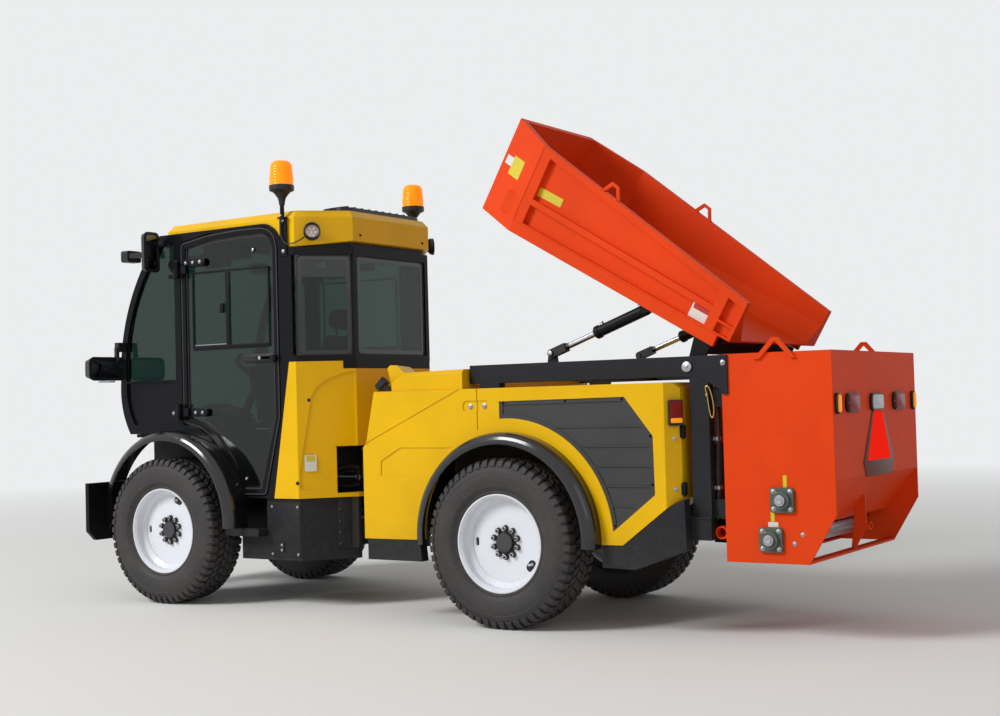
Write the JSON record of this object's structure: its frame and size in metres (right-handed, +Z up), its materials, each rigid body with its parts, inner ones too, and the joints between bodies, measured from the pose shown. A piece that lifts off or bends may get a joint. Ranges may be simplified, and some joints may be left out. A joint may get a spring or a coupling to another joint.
{
  "type": "articulated compact tractor with tipping hopper and rear spreader box",
  "caption": "Compact articulated tractor: front cab module and rear engine module joined at a vertical pivot, with a tipping hopper above and a spreader box behind.",
  "frame": {"origin": "on the ground, below the middle of the machine's length and width", "axes": "+X forward, +Y to the left, +Z up"},
  "size_m": [5.0343, 1.88, 2.7433],
  "materials": {
    "yellow_paint": "gloss",
    "orange_paint": "gloss",
    "black_paint": "satin",
    "white_paint": "gloss",
    "grey_steel": "matte",
    "tyre": "matte",
    "glass": "gloss",
    "black_plastic": "matte",
    "chrome": "polished",
    "seat": "matte",
    "amber_lens": "gloss",
    "red_lens": "gloss"
  },
  "bodies": {
    "rear_module": {"rear_frame": "black_paint", "rear_axle": "grey_steel", "engine": "grey_steel", "engine_cover": "yellow_paint", "side_grilles": "black_plastic", "deck_cover": "yellow_paint", "filler_cap": "black_plastic", "rear_mudguards": "black_plastic", "rear_valances": "black_plastic", "tail_lamps": "red_lens", "subframe": "black_paint", "spreader_box": "orange_paint", "bearings": "grey_steel", "box_lamps": "red_lens", "rear_marker": "red_lens"},
    "front_module": {"front_frame": "black_paint", "front_axle": "grey_steel", "tool_plate": "black_paint", "cab_body": "yellow_paint", "floor_pan": "black_paint", "roof_fittings": "black_plastic", "cab_frame": "black_paint", "cab_roof": "yellow_paint", "windscreen": "glass", "side_glass": "glass", "rear_glass": "glass", "front_mudguards": "black_plastic", "cab_valances": "black_plastic", "seat_base": "black_paint", "driver_seat": "seat", "steering_column": "black_plastic", "mirrors": "black_plastic", "beacons": "amber_lens"},
    "wheel_front_left": {"tyre_front_left": "tyre", "rim_front_left": "white_paint"},
    "wheel_front_right": {"tyre_front_right": "tyre", "rim_front_right": "white_paint"},
    "wheel_rear_left": {"tyre_rear_left": "tyre", "rim_rear_left": "white_paint"},
    "wheel_rear_right": {"tyre_rear_right": "tyre", "rim_rear_right": "white_paint"},
    "door_left": {"door_left": "black_paint", "door_glass_left": "glass", "door_mudguard_left": "black_plastic"},
    "door_right": {"door_right": "black_paint", "door_glass_right": "glass", "door_mudguard_right": "black_plastic"},
    "hopper": {"hopper": "orange_paint", "tipping_frame": "black_paint"},
    "tip_barrel_left": {"tip_barrel_left": "black_paint"},
    "tip_rod_left": {"tip_rod_left": "chrome"},
    "tip_barrel_right": {"tip_barrel_right": "black_paint"},
    "tip_rod_right": {"tip_rod_right": "chrome"},
    "steering_barrel_left": {"steering_barrel_left": "black_paint"},
    "steering_rod_left": {"steering_rod_left": "chrome"},
    "steering_barrel_right": {"steering_barrel_right": "black_paint"},
    "steering_rod_right": {"steering_rod_right": "chrome"},
    "upper_rotor": {"upper_rotor": "grey_steel"},
    "lower_rotor": {"lower_rotor": "grey_steel"}
  },
  "joints": [
    {"name": "articulation", "type": "hinge", "parent": "rear_module", "child": "front_module", "pos_m": [0.39, 0, 0.605], "axis": [0, 0, 1], "range_deg": [-40, 40]},
    {"name": "roll_front_left", "type": "hinge", "parent": "front_module", "child": "wheel_front_left", "pos_m": [1.773, 0.64, 0.447], "axis": [0, 1, 0], "continuous": true},
    {"name": "roll_front_right", "type": "hinge", "parent": "front_module", "child": "wheel_front_right", "pos_m": [1.773, -0.64, 0.447], "axis": [0, 1, 0], "continuous": true},
    {"name": "roll_rear_left", "type": "hinge", "parent": "rear_module", "child": "wheel_rear_left", "pos_m": [-0.71, 0.64, 0.447], "axis": [0, 1, 0], "continuous": true},
    {"name": "roll_rear_right", "type": "hinge", "parent": "rear_module", "child": "wheel_rear_right", "pos_m": [-0.71, -0.64, 0.447], "axis": [0, 1, 0], "continuous": true},
    {"name": "open_door_left", "type": "hinge", "parent": "front_module", "child": "door_left", "pos_m": [1.694, 0.675, 1.6], "axis": [0, 0, -1], "range_deg": [0, 75]},
    {"name": "open_door_right", "type": "hinge", "parent": "front_module", "child": "door_right", "pos_m": [1.694, -0.675, 1.6], "axis": [0, 0, 1], "range_deg": [0, 75]},
    {"name": "tip_hopper", "type": "hinge", "parent": "rear_module", "child": "hopper", "pos_m": [-1.76, 0, 1.336], "axis": [0, -1, 0], "range_deg": [-30, 15]},
    {"name": "swing_tip_barrel_left", "type": "hinge", "parent": "hopper", "child": "tip_barrel_left", "pos_m": [-1.51457, 0.5, 1.6509], "axis": [0, 1, 0], "range_deg": [-41, 21]},
    {"name": "slide_tip_rod_left", "type": "slide", "parent": "tip_barrel_left", "child": "tip_rod_left", "axis": [0.9416, 0, -0.3366], "range_m": [-0.18, 0.09]},
    {"name": "swing_tip_barrel_right", "type": "hinge", "parent": "hopper", "child": "tip_barrel_right", "pos_m": [-1.51457, -0.5, 1.6509], "axis": [0, 1, 0], "range_deg": [-41, 21]},
    {"name": "slide_tip_rod_right", "type": "slide", "parent": "tip_barrel_right", "child": "tip_rod_right", "axis": [0.9416, 0, -0.3366], "range_m": [-0.18, 0.09]},
    {"name": "swing_steering_barrel_left", "type": "hinge", "parent": "rear_module", "child": "steering_barrel_left", "pos_m": [-0.13, 0.235, 0.605], "axis": [0, 0, 1], "range_deg": [-7.5, 7.5]},
    {"name": "slide_steering_rod_left", "type": "slide", "parent": "steering_barrel_left", "child": "steering_rod_left", "axis": [-0.9999, 0.0152, 0], "range_m": [-0.155, 0.155]},
    {"name": "swing_steering_barrel_right", "type": "hinge", "parent": "rear_module", "child": "steering_barrel_right", "pos_m": [-0.13, -0.235, 0.605], "axis": [0, 0, 1], "range_deg": [-7.5, 7.5]},
    {"name": "slide_steering_rod_right", "type": "slide", "parent": "steering_barrel_right", "child": "steering_rod_right", "axis": [0.9999, 0.0152, 0], "range_m": [-0.155, 0.155]},
    {"name": "spin_upper_rotor", "type": "hinge", "parent": "rear_module", "child": "upper_rotor", "pos_m": [-2.238, 0, 0.688], "axis": [0, 1, 0], "continuous": true},
    {"name": "spin_lower_rotor", "type": "hinge", "parent": "rear_module", "child": "lower_rotor", "pos_m": [-2.176, 0, 0.499], "axis": [0, 1, 0], "continuous": true}
  ],
  "couplings": [
    {"joint": "swing_tip_barrel_left", "follows": "tip_hopper", "ratio": 1.344},
    {"joint": "slide_tip_rod_left", "follows": "tip_hopper", "m_per_rad": 0.334},
    {"joint": "swing_tip_barrel_right", "follows": "tip_hopper", "ratio": 1.344},
    {"joint": "slide_tip_rod_right", "follows": "tip_hopper", "m_per_rad": 0.334},
    {"joint": "swing_steering_barrel_left", "follows": "articulation", "ratio": 0.18},
    {"joint": "slide_steering_rod_left", "follows": "articulation", "m_per_rad": 0.2173},
    {"joint": "swing_steering_barrel_right", "follows": "articulation", "ratio": 0.18},
    {"joint": "slide_steering_rod_right", "follows": "articulation", "m_per_rad": 0.2173}
  ]
}
